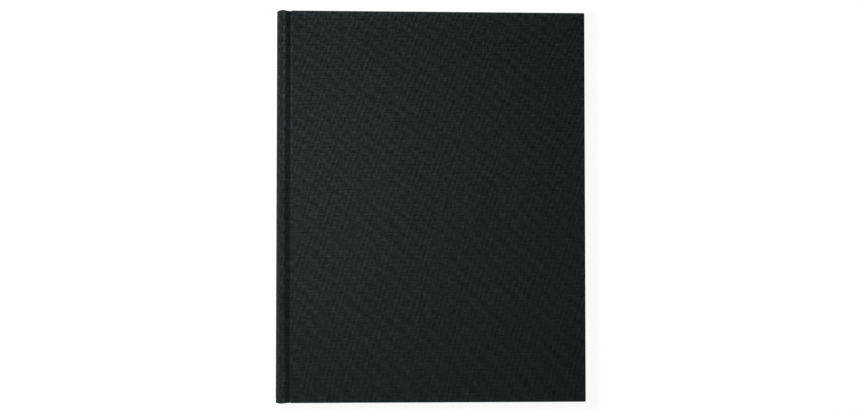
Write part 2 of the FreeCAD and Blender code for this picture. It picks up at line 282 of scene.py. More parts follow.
def noise(tree, place, spread, start=(0, 0), detail=2.0):
    """Noise from -0.5 to 0.5, with so many features per mm across and along, and a start of its own."""
    inputs = {"Vector": place, "Location": (*start, 0), "Scale": (*spread, 1)}
    moved = node(tree, "ShaderNodeMapping", inputs)
    inputs = {"Vector": moved.outputs[0], "Scale": 1.0, "Detail": detail}
    made = node(tree, "ShaderNodeTexNoise", inputs, noise_dimensions="2D")
    return node(tree, "ShaderNodeMath", {0: made.outputs[0], 1: 0.5}, operation="SUBTRACT").outputs[0]


def wave(tree, place, across, along, drift, follows):
    """The sine of the phase: turns per mm times the place, plus a share of a slow drift of the phase."""
    dot = node(tree, "ShaderNodeVectorMath", {0: place, 1: (across, along, 0)}, operation="DOT_PRODUCT")
    inputs = {0: drift, 1: follows, 2: dot.outputs["Value"]}
    turns = node(tree, "ShaderNodeMath", inputs, operation="MULTIPLY_ADD")
    phase = node(tree, "ShaderNodeMath", {0: turns.outputs[0], 1: 2 * np.pi}, operation="MULTIPLY")
    return node(tree, "ShaderNodeMath", {0: phase.outputs[0]}, operation="SINE").outputs[0]


# %% The weave
def drift_of(tree, place):
    """Turns by which the rows drift: the square of the place along the book, and slow noise."""
    along = node(tree, "ShaderNodeSeparateXYZ", {0: place}).outputs["Y"]
    square = node(tree, "ShaderNodeMath", {0: along, 1: along}, operation="MULTIPLY")
    slow = noise(tree, place, (wandering, wandering))
    slow = node(tree, "ShaderNodeMath", {0: slow, 1: wander}, operation="MULTIPLY")
    inputs = {0: square.outputs[0], 1: closing, 2: slow.outputs[0]}
    return node(tree, "ShaderNodeMath", inputs, operation="MULTIPLY_ADD").outputs[0]


def weave_of(tree, place):
    """The height of the weave: waves that fade in and out, and noises, each times its share, added up.

    It is then multiplied by 1 plus a slope: painted sheen, stronger towards the head and the spine."""
    drift = drift_of(tree, place)
    weave = 0.0
    for count, (across, along, share, follows) in enumerate(cloth_waves):
        fade = noise(tree, place, (fading, fading), (0, 4.5 * count))
        strength = node(tree, "ShaderNodeMath", {0: fade, 1: 2 * share, 2: share}, operation="MULTIPLY_ADD")
        inputs = {0: wave(tree, place, across, along, drift, follows), 1: strength.outputs[0], 2: weave}
        weave = node(tree, "ShaderNodeMath", inputs, operation="MULTIPLY_ADD").outputs[0]
    for spread, start, share in cloth_threads:
        inputs = {0: noise(tree, place, spread, start), 1: share, 2: weave}
        weave = node(tree, "ShaderNodeMath", inputs, operation="MULTIPLY_ADD").outputs[0]
    slope = node(tree, "ShaderNodeVectorMath", {0: place, 1: relief_and_painted_sheen_slope}, operation="DOT_PRODUCT")
    inputs = {0: weave, 1: slope.outputs["Value"], 2: weave}
    return node(tree, "ShaderNodeMath", inputs, operation="MULTIPLY_ADD").outputs[0]


# %% Book cloth
def book_cloth():
    """Charcoal book cloth, woven and starch filled: dark hollows, greyer crowns and hardly any shine.

    The tone of the surface, painted highlights above 0 and painted shade below, from -1 to 2.5, takes the
    colour times 0.4 to 2.5."""
    made, tree, shader = material("book_cloth_woven_starch_filled", "#1A2121", 0.6, specular=0.03)
    weave = weave_of(tree, flat_place(tree))
    reach = {"Value": weave, "From Min": -weave_reach, "From Max": weave_reach}
    height = node(tree, "ShaderNodeMapRange", reach)
    stops = {0.0: "#0F1515", 0.5: "#1C2222", 1.0: "#283030"}
    woven = node(tree, "ShaderNodeValToRGB", {0: height.outputs[0]}, stops)
    # painted highlights and painted shade, carried by each point's tone, scale the colour
    tone = node(tree, "ShaderNodeAttribute", {}, attribute_name="tone").outputs["Fac"]
    inputs = {"Value": tone, "From Min": -1.0, "From Max": 2.5, "To Min": 0.4, "To Max": 2.5}
    share = node(tree, "ShaderNodeMapRange", inputs)
    inputs = {0: woven.outputs[0], "Scale": share.outputs[0]}
    toned = node(tree, "ShaderNodeVectorMath", inputs, operation="SCALE")
    gloss = node(tree, "ShaderNodeMapRange", {**reach, "To Min": 0.66, "To Max": 0.46})
    bump = node(tree, "ShaderNodeBump", {"Height": weave, "Strength": 0.4, "Distance": 0.05 * MM})
    sources = {"Base Color": toned.outputs[0], "Roughness": gloss.outputs[0], "Normal": bump.outputs[0]}
    feed(tree, shader, sources)
    return made


cloth_material = book_cloth()
print(cloth_material.name, "with", len(cloth_material.node_tree.nodes), "nodes")

# %% [markdown]
# ## Paper, thread and board
#
# The endpapers are smooth uncoated paper, a little warm. The edge of the block is the same kind of paper
# seen end on: a hundred and fifty cut edges, each catching the light differently, so its tone runs in
# thin lines with the leaves. The map of the block holds the height of the leaf in the stack, and noise
# stretched along the leaves draws the lines.
#
# The boards, the card, the lining and the gauze hardly show. Each is one fibrous stuff whose tone wanders
# by a grain of its own size. The thread of the bands is the one thing here with a shine.


# %% Paper
def endpaper():
    """Uncoated endpaper, calendered smooth: dull, and faintly cloudy where the pulp is thicker."""
    made, tree, shader = material("endpaper_uncoated", "#DAD4C4", 0.8, specular=0.3)
    cloudy = noise(tree, flat_place(tree), (0.15, 0.15), detail=6.0)
    share = node(tree, "ShaderNodeMapRange", {"Value": cloudy, "From Min": -0.3, "From Max": 0.3})
    clouded = node(tree, "ShaderNodeValToRGB", {0: share.outputs[0]}, {0.0: "#D6D0BF", 1.0: "#DED8C9"})
    bump = node(tree, "ShaderNodeBump", {"Height": cloudy, "Strength": 0.15, "Distance": 0.1 * MM})
    feed(tree, shader, {"Base Color": clouded.outputs[0], "Normal": bump.outputs[0]})
    return made


def leaf_edges():
    """Writing paper, guillotined: each cut edge is a line a little lighter or darker than the next."""
    made, tree, shader = material("writing_paper_cut_edges", "#D8D1BE", 0.85, specular=0.25)
    place = flat_place(tree)
    fine = noise(tree, place, (0.01, 2.5), detail=3.0)
    broad = noise(tree, place, (0.006, 0.6), (50, 0))
    lines = node(tree, "ShaderNodeMath", {0: fine, 1: broad}, operation="ADD")
    inputs = {"Value": lines.outputs[0], "From Min": -0.45, "From Max": 0.45}
    share = node(tree, "ShaderNodeMapRange", inputs)
    lined = node(tree, "ShaderNodeValToRGB", {0: share.outputs[0]}, {0.0: "#CBC2AD", 1.0: "#FBF8EE"})
    feed(tree, shader, {"Base Color": lined.outputs[0]})
    return made


endpaper_material = endpaper()
leaf_material = leaf_edges()
print(endpaper_material.name, "and", leaf_material.name)


# %% Gauze, kraft paper and board
def fibrous(name, base, darker, roughness, per_mm):
    """A material whose tone wanders between two colours with grains of one over per_mm mm."""
    made, tree, shader = material(name, base, roughness, specular=0.25)
    place = node(tree, "ShaderNodeTexCoord", {}).outputs["Object"]
    inputs = {"Vector": place, "Scale": per_mm / MM, "Detail": 4.0}
    grain = node(tree, "ShaderNodeTexNoise", inputs).outputs[0]
    grained = node(tree, "ShaderNodeValToRGB", {0: grain}, {0.35: darker, 0.65: base})
    bump = node(tree, "ShaderNodeBump", {"Height": grain, "Strength": 0.3, "Distance": 0.1 * MM})
    feed(tree, shader, {"Base Color": grained.outputs[0], "Normal": bump.outputs[0]})
    return made


# Pressed from waste paper: dull grey, with grains of pulp one and a half millimetres across.
greyboard_material = fibrous("greyboard_pressed", "#8E8B84", "#77736B", 0.9, 0.7)
# The same pulp rolled thinner and closer, so a little paler and smoother.
card_material = fibrous("spine_card_pressed", "#97938B", "#837E75", 0.85, 0.8)
# Unbleached wood pulp: brown, with darker fibres.
kraft_material = fibrous("kraft_paper_lining", "#A08763", "#8B7250", 0.85, 0.8)
# Open cotton gauze stiff with size: cream and quite matt, with its threads drawn as coarse grains.
mull_material = fibrous("mull_sized_gauze", "#D2CCBA", "#B3AB96", 0.95, 1.2)
print(greyboard_material.name, card_material.name, kraft_material.name, mull_material.name)


# %% Thread of the bands
def band_thread():
    """Rayon thread wound over a core: a silky shine, dark and pale by turns, a millimetre of each."""
    made, tree, shader = material("band_rayon_thread", "#C9C3B2", 0.45, specular=0.5)
    place = flat_place(tree)
    uneven = noise(tree, place, (0.5, 0.5))
    stripes = wave(tree, place, 0.5, 0.0, uneven, 0.1)
    striped = node(tree, "ShaderNodeValToRGB", {0: stripes}, {0.0: "#22282A", 0.12: "#C9C3B2"})
    feed(tree, shader, {"Base Color": striped.outputs[0]})
    return made


band_material = band_thread()
print(band_material.name)

# %% [markdown]
# ## The line over the spine
#
# Seen from the tail, one line goes round the back of the book: out of the front groove, up the flank of
# the shoulder, over its crest, round the back and so on to the other groove. All of it is arcs and
# straight runs that meet without a corner, so a layer that lies deeper is the same line moved inwards
# along its normals. The arcs come from the frame: the back touches both crest circles and stands out as
# far as the spine does.

# %% The crests, the groove and the arc of the back
crest = np.array([hinge[0], spine_high[2] - crest_radius])
flank_normal = np.array([np.sin(np.radians(flank_angle)), np.cos(np.radians(flank_angle))])
flank_drop = crest[1] - board_low[2] - groove_radius + (crest_radius + groove_radius) * flank_normal[1]
flank = np.array([flank_normal[1], -flank_normal[0]]) * flank_drop / flank_normal[0]
groove = crest + (crest_radius + groove_radius) * flank_normal + flank
rise = crest[1] - middle


def back_arc(bulge, crest_size):
    """Centre x and radius of the arc that stands out by bulge and touches both crest circles.

    Its centre is as far from a crest's as the two radii differ, and Pythagoras gives the rest."""
    radius = (bulge ** 2 + rise ** 2 - crest_size ** 2) / (2 * (bulge - crest_size))
    return crest[0] - bulge + radius, radius


case_x, case_radius = back_arc(crest[0] - spine_low[0], crest_radius)
leave_angle = np.degrees(np.arctan2(rise, crest[0] - case_x))
print(f"back of the case: radius {case_radius:.1f} mm, leaves the crest at {leave_angle:.0f} degrees")


def arc_points(centre, radius, start, end, count):
    """Points at equal angles on an arc, with their outward normals; a groove's radius is negative."""
    angle = np.radians(np.linspace(start, end, count))
    normal = np.stack([np.cos(angle), np.sin(angle)], -1)
    return np.hstack([np.array(centre) + abs(radius) * normal, normal * np.sign(radius)])


def joined(*stretches):
    """Stretches of a line in a row, each starting where the one before ends."""
    return np.concatenate([stretches[0]] + [stretch[1:] for stretch in stretches[1:]])


def run(start, end, count):
    """Points at equal steps from one row of a line to another, with the first row's normal."""
    share = np.linspace(0, 1, count)[:, None]
    points = start[:2] * (1 - share) + np.array(end) * share
    return np.hstack([points, np.tile(start[2:], (count, 1))])


def lengths(line):
    """The distance along the line to each of its points."""
    steps = np.hypot(*np.diff(line[:, :2], axis=0).T)
    return np.concatenate([[0], np.cumsum(steps)])


def joint_line(start_angle, end_x):
    """From an angle on the front crest, down its flank, round into the groove and level to end_x."""
    over = arc_points(crest, crest_radius, start_angle, 90 - flank_angle, 17)
    down = run(over[-1], over[-1][:2] + flank, 6)
    into = arc_points(groove, -groove_radius, 270 - flank_angle, 270, 7)
    return joined(over, down, into, run(into[-1], (end_x, into[-1][1]), 9))


back_of_case = arc_points((case_x, middle), case_radius, leave_angle, 360 - leave_angle, 57)
joint_end = cover_low[0] - joint_gap
joint_path = joint_line(leave_angle, joint_end)
print(f"cloth across the back: {lengths(back_of_case)[-1]:.1f} mm")
print(f"cloth across a joint: {lengths(joint_path)[-1]:.1f} mm")


# %% [markdown]
# ## Cloth over the spine and in the joints
#
# The cloth of a case is one piece. It goes round the back, dips into both grooves and is turned in over
# the ends, where the fold makes the headcap. A cover turns about the crest of its shoulder, so the cloth
# is made in three pieces that meet where the arc of the back runs into a crest: the back, which stays
# with the block, and the two joints.
#
# Each is a profile carried along the line over the spine. The profile is the cloth cut lengthwise: out
# along the spine, round the fold at the head, back under itself by the turn-in, and the same at the tail.
# Where the card inlay lies between the two layers, the fold is thicker.


# %% Cloth cut lengthwise
fold_turn = np.radians(np.linspace(90, -90, 13))
near_end = np.array([0.5, 1.0, 1.4, 1.8, 2.2, 2.6, 3.2, 4.5, 7, 12, 20])  # places from the end of the cloth
even_from = 30  # from here to the other end the places are even
crease_depth, crease_place, crease_width = 0.16, 2.0, 0.5  # where the cap is set down past the inlay
print("places near an end of the cloth:", len(near_end))


def cut_lengthwise(half, fold, tuck):
    """The closed profile of the cloth at each point of its line: rows of (along, depth, flat along).

    At the head it is a half circle of the fold's thickness, a straight tuck, its cut edge and the same
    way back one cloth thickness inside; the tail mirrors it, and straight runs join the two."""
    bead = fold[:, None] / 2
    end = half - bead
    tuck, turn, step = tuck[:, None], fold_turn[None], np.linspace(0, 1, 5)[None]
    along = [
        end + bead * np.cos(turn),
        end - (tuck - bead) * step[:, 1:],
        half - tuck + (tuck - bead) * step[:, :-1],
        end + (bead - cloth) * np.cos(turn[:, ::-1]),
    ]
    depth = [
        bead - bead * np.sin(turn),
        2 * bead + 0 * step[:, 1:],
        2 * bead - cloth + 0 * step[:, :-1],
        bead - (bead - cloth) * np.sin(turn[:, ::-1]),
    ]
    along, depth = np.hstack(along), np.hstack(depth)
    steps = np.hypot(np.diff(along), np.diff(depth))
    flat = end + np.hstack([0 * end, np.cumsum(steps, 1)])
    head = np.stack([along, depth, flat], -1)
    tail = head[:, ::-1] * [-1, 1, -1]
    middle_part = np.linspace(even_from - spine_high[1], spine_high[1] - even_from, 21) + 0 * half
    stations = np.hstack([near_end - half, middle_part, half - near_end[::-1]])
    crease = crease_depth * np.exp(-(((half - np.abs(stations) - crease_place) / crease_width) ** 2))
    outside = np.stack([stations, crease, stations], -1)
    inside = np.stack([stations, cloth + 0 * stations, stations * flat[:, -1:] / end], -1)[:, ::-1]
    return np.concatenate([outside, head, inside, tail], 1)


def wrapped_cloth(name, side, line, flat_across, half, fold, tuck, tone_at):
    """Cloth carried along a line; half its length, its fold and its tuck are given for each point.

    The tone comes from a function of the place across and along the book."""
    along, depth, flat_along = np.moveaxis(cut_lengthwise(half[:, None], fold, tuck), -1, 0)
    x = line[:, None, 0] - line[:, None, 2] * depth
    z = line[:, None, 1] - line[:, None, 3] * depth
    rings = both_sides(side, np.stack([x, along, z], -1))
    flat_map = np.stack([np.broadcast_to(flat_across[:, None], along.shape), flat_along], -1)
    return shell(name, rings, flat_map, cloth_material, tone_at(line[:, :1], along))


# %% Where highlights and shade are painted on the cloth
def smooth_step(value, place, width=0.5):
    """0 before the place and 1 after it, with an even bend over the width to each side."""
    t = np.clip((value - place) / (2 * width) + 0.5, 0, 1)
    return t * t * (3 - 2 * t)


def hill(value, place, width):
    """1 at the place, falling off evenly to both sides over the width."""
    return np.exp(-(((value - place) / width) ** 2))


def headcap_painted_light(x, along):
    """Painted shade just inside the headcap's edge, where it is pressed down, and a painted highlight
    beside that. Each hill is a strength times its place and width in mm."""
    from_head = spine_high[1] - along + 0 * x
    return 0.35 * hill(from_head, 2.4, 0.5) - 0.3 * hill(from_head, 1.4, 0.4)


def joint_painted_light(x, along):
    """Painted highlight on the crest, more at the head and the tail, and painted shade in the groove."""
    off_crest, from_head = x - crest[0], spine_high[1] - along
    # Painted highlights on the crest and, towards the tail, over onto its flank.
    crest_highlight = 0.75 * hill(off_crest, 1.2, 1.1)
    highlight_to_head = 2.0 * hill(off_crest, 0.95, 0.7) * smooth_step(along, 45, 40) * smooth_step(from_head, 1.0)
    highlight_at_head = 1.7 * hill(off_crest, 0.4, 1.1) * hill(from_head, 3.2, 1.8)
    to_tail = smooth_step(-along, 105, 35)
    # Painted shade on the floor of the groove, a little less towards the tail.
    groove_shade = (1 - 0.35 * to_tail) * hill(off_crest, 4.4, 1.0)
    return crest_highlight + highlight_to_head + highlight_at_head + 1.1 * hill(off_crest, 1.5, 1.2) * to_tail - groove_shade


# %% The back of the case
inlay_half = (inlay_high[2] - inlay_low[2]) / 2
over_inlay = np.clip(inlay_half + 0.5 - np.abs(back_of_case[:, 1] - middle), 0, 1)
spine_half = np.full(len(back_of_case), spine_high[1])
spine_fold = 2 * cloth + bedding + (inlay_card - bedding) * over_inlay
spine_tuck = short_tuck + (turn_in - short_tuck) * over_inlay
spine_across = crest[0] - lengths(back_of_case)
piece = wrapped_cloth(
    "spine_cloth_back", "front", back_of_case, spine_across, spine_half, spine_fold, spine_tuck, headcap_painted_light
)
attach(piece, "book_block")
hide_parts("spine_cloth")


# %% The joints
def bend_at_joint(piece):
    """Moves the piece's placement into its points, and leaves it unbent."""
    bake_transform(piece)


towards_cover = np.clip((joint_path[:, 0] - crest[0]) / (joint_end - crest[0]), 0, 1)
joint_half = spine_high[1] + (cover_high[1] - spine_high[1]) * towards_cover
joint_fold = np.full(len(joint_path), 2 * cloth + bedding)
joint_tuck = np.full(len(joint_path), short_tuck)
joint_across = crest[0] + lengths(joint_path)
for side in ("front", "back"):
    name = f"{side}_joint_cloth"
    piece = wrapped_cloth(
        name, side, joint_path, joint_across, joint_half, joint_fold, joint_tuck, joint_painted_light
    )
    bend_at_joint(piece)

# %% [markdown]
# ## Cloth round the boards
#
# A board is wrapped like a parcel: the cloth lies flat on its outer face, goes round its edges and is
# turned in on three sides, mitred at the corners. The surface is a set of rings. Each ring is a rectangle
# with rounded corners at some inset from the board's edge and some height, and the rings run from the
# middle of the outer face to the cut edge of the turn-in and back again inside the cloth.


# %% Rings round a rectangle
def around_rectangle(per_corner=7, per_side=22):
    """For each point round a rectangle, its place from -1 to 1 both ways, and its normal."""
    corner_places = np.array([[1, 1], [-1, 1], [-1, -1], [1, -1], [1, 1]])
    share = np.linspace(0, 1, per_side + 2)[1:-1, None]
    places, normals = [], []
    for here, there, quarter in zip(corner_places, corner_places[1:], np.radians([0, 90, 180, 270])):
        turn = quarter + np.radians(np.linspace(0, 90, per_corner))
        corner = np.stack([np.cos(turn), np.sin(turn)], -1)
        places += [np.tile(here, (per_corner, 1)), here * (1 - share) + there * share]
        normals += [corner, np.tile(corner[-1], (per_side, 1))]
    return np.concatenate(places), np.concatenate(normals)


plan_corner = 0.9  # corner of a wrapped board, seen from above
least_corner = 0.04  # corner of the innermost rings, where there is no room for more
place_round, normal = around_rectangle()
print("points round a ring:", len(normal))


def ring_points(inset, inset_spine):
    """Points of each ring: the rectangle's corner circles shrink with the inset until they are points."""
    low = np.stack([cover_low[0] + inset_spine, cover_low[1] + inset], -1)
    high = np.stack([cover_high[0] - inset, cover_high[1] - inset], -1)
    radius = np.maximum(plan_corner - inset, least_corner)[:, None, None]
    centre, half = ((low + high) / 2)[:, None], ((high - low) / 2)[:, None]
    return centre + place_round * (half - radius) + normal * radius


# %% The profile of the cloth round a board
edge_middle, edge_foot = 1.5, 2.4  # down the outer edge of a wrapped board, between its rounded corners
inner_ring = 1.0  # half the width of the innermost ring, at the middle of the cover


def quarter_turn(radius, count):
    """Offsets sideways and upwards on a quarter of a circle, from its side to its top."""
    turn = np.radians(np.linspace(0, 90, count))
    return radius - radius * np.cos(turn), radius * np.sin(turn)


def board_profile():
    """Rows of (inset, height, flat inset): outer face, edge, turn-in, its cut edge and back inside."""
    top, bottom = cover_high[2], cover_low[2]
    innermost = (cover_high[0] - cover_low[0]) / 2 - inner_ring
    side, up = quarter_turn(cover_rounding, 8)
    under, down = quarter_turn(cloth, 6)
    inner, inner_up = quarter_turn(cover_rounding - cloth, 5)
    face = np.concatenate([np.linspace(innermost, 5, 9), [3, 1.6]])
    tucked = np.array([2.5, 6, 11, turn_in])
    cut = turn_in + cloth  # the cut edge slopes, so that it is no knife edge
    inset = [
        face,
        side[::-1],
        [0, 0],
        under,
        tucked,
        [cut, cut],
        [8, cloth],
        [cloth],
        cloth + inner,
        face[::-1],
    ]
    height = [
        0 * face + top,
        top - cover_rounding + up[::-1],
        [top - edge_middle, top - edge_foot],
        bottom + cloth - down,
        0 * tucked + bottom,
        [bottom + 0.06, bottom + cloth],
        [bottom + cloth] * 2,
        [top - edge_middle],
        top - cover_rounding + inner_up,
        0 * face + top - cloth,
    ]
    inset, height = np.concatenate(inset), np.concatenate(height)
    flat = inset[0] - np.concatenate([[0], np.cumsum(np.hypot(np.diff(inset), np.diff(height)))])
    return inset, height, flat


# %% Rings of the covers
inset, height, flat_inset = board_profile()
at_edge = height < cover_high[2] - edge_middle + 0.05  # rings at and below the middle of the outer edge
inset_spine = np.where(at_edge, np.minimum(inset, cloth), inset)  # nothing is turned in beside the joint
ring_height = np.tile(height[:, None, None], (1, len(normal), 1))
rings = np.concatenate([ring_points(inset, inset_spine), ring_height], -1)
flat_map = ring_points(np.minimum(flat_inset, inset), np.minimum(flat_inset, inset))

# Beside the joint the tucked rings share one line. Each lies a hair above the last, so no face is flat.
hair = 0.005
tucked_rings = (height < board_low[2] + 2 * hair) & (inset > cloth - 2 * hair)
spine_height = np.maximum(height, board_low[2]) + hair * np.cumsum(tucked_rings) * tucked_rings
on_spine_side = normal[:, 0] < -0.7
rings[..., 2] = np.where(on_spine_side, spine_height[:, None], rings[..., 2])
print("rings of a cover:", len(rings), "of which tucked under:", tucked_rings.sum())

# %% The covers, with painted highlights along the joint and at the head and the tail
# Painted highlights on the rounded edges: beside the joint, fading towards the tail, and at the head and
# the tail.
spine_edge_highlight = smooth_step(-normal[:, 0], 0.9, 0.1) * smooth_step(-np.abs(inset - 0.3), -0.6, 0.4)[:, None]
towards_head = 0.25 + 0.75 * smooth_step(rings[..., 1], 20, 60)
highlight_at_head, highlight_at_tail = (smooth_step(end * normal[:, 1], 0.7, 0.2) for end in (1, -1))
tone = spine_edge_highlight * towards_head + (highlight_at_head + 0.4 * highlight_at_tail) * np.exp(-inset / 3)[:, None]
for side in ("front", "back"):
    piece = shell(f"{side}_cover_cloth_wrapped", both_sides(side, rings), flat_map, cloth_material, tone)
    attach(piece, f"{side}_cover")
    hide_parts(f"{side}_cover_cloth")

# %% [markdown]
# ## Endpapers
#
# Each endpaper is one folded sheet. One half, the pastedown, is glued over the inside of the cover, and
# what lies under it shows through as low steps: the turned-in cloth and the strip of mull. The other
# half, the flyleaf, is glued along the first leaf and rises over the shoulder with it. Between the two,
# a narrow strip of the sheet lines the joint. It laps a millimetre over the pastedown.


# %% Places where a sheet bends
step_places = (-0.5, -0.25, 0, 0.25, 0.5)  # about a step


def stations(low, high, spacing, *steps):
    """Even places from low to high, and more on both sides of each step."""
    even = np.linspace(low, high, max(2, round((high - low) / spacing) + 1))
    extra = [place + offset for place in steps for offset in step_places]
    return np.unique(np.concatenate([even, extra]))


# %% The pastedowns
leaf_x, leaf_y = block_high[0], block_high[1]
turn_in_x = cover_high[0] - cloth - turn_in
turn_in_y = cover_high[1] - cloth - turn_in
x = stations(cover_low[0], leaf_x, 9, flange_high[0], turn_in_x)
y = stations(-leaf_y, leaf_y, 9, -turn_in_y, -flange_high[1], flange_high[1], turn_in_y)
print("places across and along a pastedown:", len(x), "and", len(y))
across, along = np.meshgrid(x, y, indexing="ij")
over_turn_in = np.maximum(smooth_step(across, turn_in_x), smooth_step(np.abs(along), turn_in_y))
over_mull = (1 - smooth_step(across, flange_high[0])) * (1 - smooth_step(np.abs(along), flange_high[1]))
lifted = np.maximum(cloth * over_turn_in, (flange_high[2] - flange_low[2]) * over_mull)
outer = board_low[2] - lifted
sheet = np.stack([np.stack([across, along, outer - under], -1) for under in (paper, 0)], 1)
flat_map = sheet[..., :2]
for side in ("front", "back"):
    piece = lattice(f"{side}_pastedown_paper", both_sides(side, sheet), flat_map, endpaper_material)
    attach(piece, f"{side}_cover")
    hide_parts(f"{side}_pastedown")


# %% Layers that follow the line over the shoulder
def layer(name, side, line, depths, half, count, finish):
    """A sheet between two depths under a line, from -half to half along the book in count places."""
    depth = np.array(depths)[None, :, None]
    y = np.linspace(-half, half, count)[None, None]
    x = line[:, None, None, 0] - line[:, None, None, 2] * depth
    z = line[:, None, None, 1] - line[:, None, None, 3] * depth
    block = np.stack(np.broadcast_arrays(x, y, z), -1)
    flat_across = np.broadcast_to(lengths(line)[:, None, None], block.shape[:3])
    return lattice(name, both_sides(side, block), np.stack([flat_across, block[..., 1]], -1), finish)


# %% Depths and lengths of the sheets about the joints
endpaper_depth = 3 * paper  # under the outside of the cloth
leaf_depth = endpaper_depth + paper
paper_fold = 165  # degrees round the crest, where the endpaper is folded
lap = 1.0  # of the paper in the joint over the pastedown
sheet_places = 31  # along the book
over_shoulder = joint_line(paper_fold, leaf_x)
flyleaf_depths = (endpaper_depth, leaf_depth)
joint_layers = (  # name, where it ends, depths, half its length, finish and slot
    ("mull", joint_end, (cloth, cloth + mull), flange_high[1], mull_material, "mull"),
    ("paper", cover_low[0] + lap, (cloth + mull, endpaper_depth), leaf_y, endpaper_material, "endpaper"),
)
print(f"flyleaf from fold to fore edge: {lengths(over_shoulder)[-1]:.1f} mm")

# %% Flyleaves, and the mull and the paper in the joints
for side in ("front", "back"):
    name = f"{side}_flyleaf_paper"
    piece = layer(name, side, over_shoulder, flyleaf_depths, leaf_y, sheet_places, endpaper_material)
    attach(piece, "book_block")
    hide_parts(f"{side}_flyleaf")
    for name, end_x, depths, half, finish, slot in joint_layers:
        over_crest = joint_line(leave_angle, end_x)
        piece = layer(f"{side}_joint_{name}", side, over_crest, depths, half, sheet_places, finish)
        bend_at_joint(piece)

# %% [markdown]
# ## The block of leaves
#
# The sewn leaves are a stack. Each leaf lies flat and rises over the shoulder at the back, by its share
# of the stack's height. So the block is a lattice: across the leaf, through the stack and along the book.
# The back of the stack is rounded and the fore edge is hollow by the same bend.
#
# The guillotine cuts the leaves level, but each springs a few hundredths of a millimetre in or out, and a
# gathering moves as one. Three rows of points for a leaf, two low ones and a high one between them, give
# every leaf its own edge.


# %% The edge of each leaf
block_bulge = crest[0] - block_low[0]
block_x, block_radius = back_arc(block_bulge, crest_radius - endpaper_depth)
leaf_spring, gathering_spring = 0.03, 0.05  # how far a leaf and a gathering spring, as a standard deviation
edge_relief = 0.03  # from the middle of a leaf's edge to the level of the cut, and on to the gap beside it

random = np.random.default_rng(7)
rows = 2 * leaves + 1
leaf_sprung = random.normal(0, leaf_spring, leaves)
gathering_sprung = random.normal(0, gathering_spring, leaves // gathering + 1)
sprung = leaf_sprung + np.repeat(gathering_sprung, gathering)[:leaves]
edge = np.zeros(rows)
edge[1::2] = sprung + edge_relief
edge[2:-1:2] = (sprung[1:] + sprung[:-1]) / 2 - edge_relief
print(f"leaves stand out and in by {edge.max():.2f} and {-edge.min():.2f} mm at most")


# %% Leaves of the block
def arc_sag(height, radius, chord):
    """How far an arc stands out at a height, against its place at the height of the chord's end."""
    return np.sqrt(radius ** 2 - chord ** 2) - np.sqrt(radius ** 2 - height ** 2)


block_fold = 170  # degrees round the crest, where the outermost leaf is folded
top_leaf = joint_line(block_fold, leaf_x)
top_x = top_leaf[:, 0] - top_leaf[:, 2] * leaf_depth
top_rise = top_leaf[:, 1] - top_leaf[:, 3] * leaf_depth - middle
to_fore_edge = ((top_x - top_x[0]) / (top_x[-1] - top_x[0]))[:, None]
share = np.linspace(-1, 1, rows)
height = share[None] * top_rise[:, None]
back_sag = arc_sag(height[:1], block_radius, top_rise[0])
fore_sag = arc_sag(height[-1:], block_radius, top_rise[-1])
block_across = top_x[:, None] + back_sag * (1 - to_fore_edge) + fore_sag * to_fore_edge
block_across[-1] += edge
y = np.linspace(-leaf_y, leaf_y, 41)
block = np.stack(np.broadcast_arrays(block_across[..., None], y, middle + height[..., None]), -1)
block[..., 0, 1] -= edge
block[..., -1, 1] += edge
height_in_stack = share[None, :, None] * top_rise[-1]
flat_map = np.stack(np.broadcast_arrays(block[..., 0] + block[..., 1], height_in_stack), -1)
piece = lattice("leaves_of_the_block", block, flat_map, leaf_material)
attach(piece, "book_block")
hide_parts("text_block")

# %% [markdown]
# ## Head and tail bands, and the mull
#
# A band is a strip with a corded edge, glued over the end of the block's back. Thread is wound over the
# cord, so the bead is a tube whose radius swells a little with each turn of the thread. Only the half
# above the leaves is made: the ring of points is half a circle, closed by its flat side.


# %% The line of a band
def back_line(start, end, count):
    """Points on the outside of the mull's crest line between two angles about the block's axis."""
    radius = np.hypot(crest[0] - block_x, rise) + crest_radius
    return arc_points((block_x, middle), radius, start, end, count)


thread_pitch = 0.4
thread_swell = 0.07  # share of the bead's radius that is lost between two turns of the thread
bead_radius = band_high[1] - leaf_y
band_reach = block_x - band_low[0] - bead_radius
half_angle = np.degrees(np.arcsin((band_high[2] - middle) / (block_x - band_low[0])))
centre_line = arc_points((block_x, middle), band_reach, 180 - half_angle, 180 + half_angle, 241)
turns = lengths(centre_line) / thread_pitch
swell = 1 - thread_swell * (1 - np.abs(np.sin(np.pi * turns)))
section = np.radians(np.linspace(-8, 188, 15))  # a little more than half a circle, sunk into the leaves
print(f"thread goes {turns[-1]:.0f} times round a bead {lengths(centre_line)[-1]:.1f} mm long")

# %% Bands
reach = bead_radius * swell[:, None] * np.cos(section)
stand = bead_radius * swell[:, None] * np.sin(section)
x = centre_line[:, None, 0] + centre_line[:, None, 2] * reach
z = centre_line[:, None, 1] + centre_line[:, None, 3] * reach
flat_map = np.stack(np.broadcast_arrays(lengths(centre_line)[:, None], stand), -1)
for name, end in (("head_band", 1), ("tail_band", -1)):
    piece = shell(f"{name}_bead", np.stack([x, end * (leaf_y + stand), z], -1), flat_map, band_material)
    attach(piece, "book_block")
    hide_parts(name)

# %% The mull over the back of the block
block_leave = np.degrees(np.arctan2(rise, crest[0] - block_x))
over = arc_points(crest, crest_radius, leave_angle, block_leave, 5)
under = arc_points((crest[0], total - crest[1]), crest_radius, 360 - block_leave, 360 - leave_angle, 5)
round_back = joined(over, back_line(block_leave, 360 - block_leave, 17), under)
mull_depths = (cloth, cloth + paper)
piece = layer("mull_on_the_back", "front", round_back, mull_depths, flange_high[1], 5, mull_material)
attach(piece, "book_block")
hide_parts("spine_mull")

